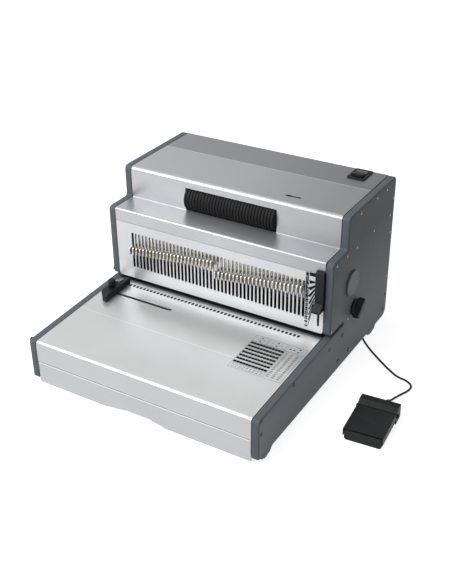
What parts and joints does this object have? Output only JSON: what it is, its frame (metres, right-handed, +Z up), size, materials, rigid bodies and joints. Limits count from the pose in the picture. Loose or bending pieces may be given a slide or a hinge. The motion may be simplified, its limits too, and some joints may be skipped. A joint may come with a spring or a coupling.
{
  "type": "coil binding machine",
  "caption": "Desk-top electric coil punch and coil inserter with a sloping table, a comb of pull-out punch selectors, a paper throat, a coil roller, a chip drawer and a foot pedal.",
  "frame": {"origin": "on the floor under the middle of the bounding box of the machine with its pedal, without the cord", "axes": "+X to the machine's right, across the table; -Y to the user at the front; +Z up"},
  "size_m": [0.5032, 0.4887, 0.2545],
  "materials": {
    "panel_paint": "fine textured blue-grey paint",
    "brushed_aluminium": "brushed, clear anodised",
    "bare_steel": "smooth",
    "dark_steel": "blackened, lightly oiled",
    "nickel": "bright nickel plate",
    "cast": "machined casting",
    "black_plastic": "satin black",
    "rubber": "matt",
    "brass": "turned",
    "board": "solder mask",
    "motor_paint": "satin",
    "pedal_paint": "satin black"
  },
  "bodies": {
    "frame": {"side_panel_left": "panel_paint", "side_panel_right": "panel_paint", "side_cap": "panel_paint", "foot_pad_front_left": "rubber", "foot_pad_front_right": "rubber", "foot_pad_rear_left": "rubber", "foot_pad_rear_right": "rubber", "table_plate": "brushed_aluminium", "base_pan": "bare_steel", "top_cover": "brushed_aluminium", "punch_front_cover": "brushed_aluminium", "rear_cover": "panel_paint", "die_plate": "dark_steel", "punch_guide_block": "dark_steel", "ram_column_left": "bare_steel", "ram_column_right": "bare_steel", "crank_pedestal_left": "cast", "crank_pedestal_right": "cast", "motor_bracket": "bare_steel", "drive_motor": "motor_paint", "roller_bracket_left": "bare_steel", "roller_bracket_right": "bare_steel", "roller_motor": "motor_paint", "roller_belt": "rubber", "switch_bezel": "black_plastic", "mains_inlet": "black_plastic", "cord_gland": "black_plastic", "control_board": "board", "motor_capacitor": "brushed_aluminium", "pedal_sole": "rubber", "pedal_base": "pedal_paint", "pedal_hinge_pin": "bare_steel", "pedal_switch": "black_plastic", "pedal_spring": "bare_steel", "cord_relief": "black_plastic", "pedal_cord_run": "black_plastic", "pedal_cord_coil": "black_plastic", "pedal_cord_tail": "black_plastic"},
    "ram": {"punch_bank": "nickel", "ram_beam": "cast"},
    "first_selector": {"selector_01": "nickel"},
    "second_selector": {"selector_02": "nickel"},
    "next_to_last_selector": {"selector_46": "nickel"},
    "last_selector": {"selector_47": "nickel"},
    "crank": {"crank_shaft": "bare_steel"},
    "pinion": {"drive_pinion": "bare_steel"},
    "roller": {"coil_roller": "rubber", "roller_shaft": "bare_steel"},
    "roller_drive": {"roller_motor_pulley": "black_plastic"},
    "drawer": {"chip_drawer_front": "brushed_aluminium", "chip_tray": "bare_steel"},
    "gauge": {"gauge_handle": "black_plastic"},
    "margin_dial": {"margin_knob": "black_plastic", "margin_cam": "brass"},
    "stop_slide": {"back_stop": "bare_steel"},
    "guide": {"side_guide": "black_plastic", "guide_nut": "bare_steel"},
    "guide_clamp": {"guide_knob": "black_plastic"},
    "rocker": {"power_rocker": "black_plastic"},
    "treadle": {"pedal_plate": "pedal_paint"}
  },
  "joints": [
    {"name": "crank_turn", "type": "hinge", "parent": "frame", "child": "crank", "pos_m": [-0.06256, 0.07935, 0.15], "axis": [1, 0, 0], "range_deg": [0, 180]},
    {"name": "ram_stroke", "type": "slide", "parent": "frame", "child": "ram", "axis": [0, 0, 1], "range_m": [-0.024, 0]},
    {"name": "pinion_turn", "type": "hinge", "parent": "frame", "child": "pinion", "pos_m": [-0.06256, 0.1247, 0.15], "axis": [1, 0, 0], "range_deg": [-360, 0]},
    {"name": "first_selector_pull", "type": "slide", "parent": "ram", "child": "first_selector", "axis": [0, -1, 0], "range_m": [0, 0.008]},
    {"name": "second_selector_pull", "type": "slide", "parent": "ram", "child": "second_selector", "axis": [0, -1, 0], "range_m": [0, 0.008]},
    {"name": "next_to_last_selector_pull", "type": "slide", "parent": "ram", "child": "next_to_last_selector", "axis": [0, -1, 0], "range_m": [0, 0.008]},
    {"name": "last_selector_pull", "type": "slide", "parent": "ram", "child": "last_selector", "axis": [0, -1, 0], "range_m": [0, 0.008]},
    {"name": "roller_spin", "type": "hinge", "parent": "frame", "child": "roller", "pos_m": [-0.06256, 0.04685, 0.216], "axis": [1, 0, 0], "continuous": true},
    {"name": "roller_motor_spin", "type": "hinge", "parent": "frame", "child": "roller_drive", "pos_m": [-0.06256, 0.10035, 0.216], "axis": [1, 0, 0], "continuous": true},
    {"name": "drawer_slide", "type": "slide", "parent": "frame", "child": "drawer", "axis": [0, -1, 0], "range_m": [0, 0.2]},
    {"name": "gauge_slide", "type": "slide", "parent": "frame", "child": "gauge", "axis": [0, 0, -1], "range_m": [0, 0.031]},
    {"name": "margin_turn", "type": "hinge", "parent": "frame", "child": "margin_dial", "pos_m": [-0.06256, 0.06835, 0.091], "axis": [-1, 0, 0], "range_deg": [0, 90]},
    {"name": "stop_shift", "type": "slide", "parent": "frame", "child": "stop_slide", "axis": [0, -1, 0], "range_m": [0, 0.0035]},
    {"name": "guide_slide", "type": "slide", "parent": "frame", "child": "guide", "axis": [1, 0, 0], "range_m": [0, 0.106]},
    {"name": "clamp_turn", "type": "hinge", "parent": "guide", "child": "guide_clamp", "pos_m": [-0.22256, -0.05365, 0.09], "axis": [0, 0, 1], "range_deg": [0, 180]},
    {"name": "rocker_tilt", "type": "hinge", "parent": "frame", "child": "rocker", "pos_m": [0.07794, 0.17635, 0.2461], "axis": [1, 0, 0], "range_deg": [0, 14]},
    {"name": "treadle_press", "type": "hinge", "parent": "frame", "child": "treadle", "pos_m": [0.21875, -0.04685, 0.013], "axis": [0.9969, 0.0785, 0], "range_deg": [0, 5.5], "stiffness_Nm_per_rad": 3, "springref_deg": -5.73, "deforming": ["pedal_spring"]}
  ],
  "couplings": [
    {"joint": "crank_turn", "follows": "ram_stroke", "rad_per_m": -130.9},
    {"joint": "pinion_turn", "follows": "ram_stroke", "rad_per_m": 261.8},
    {"joint": "roller_motor_spin", "follows": "roller_spin", "ratio": 1.5},
    {"joint": "margin_turn", "follows": "stop_shift", "rad_per_m": 448.8}
  ]
}
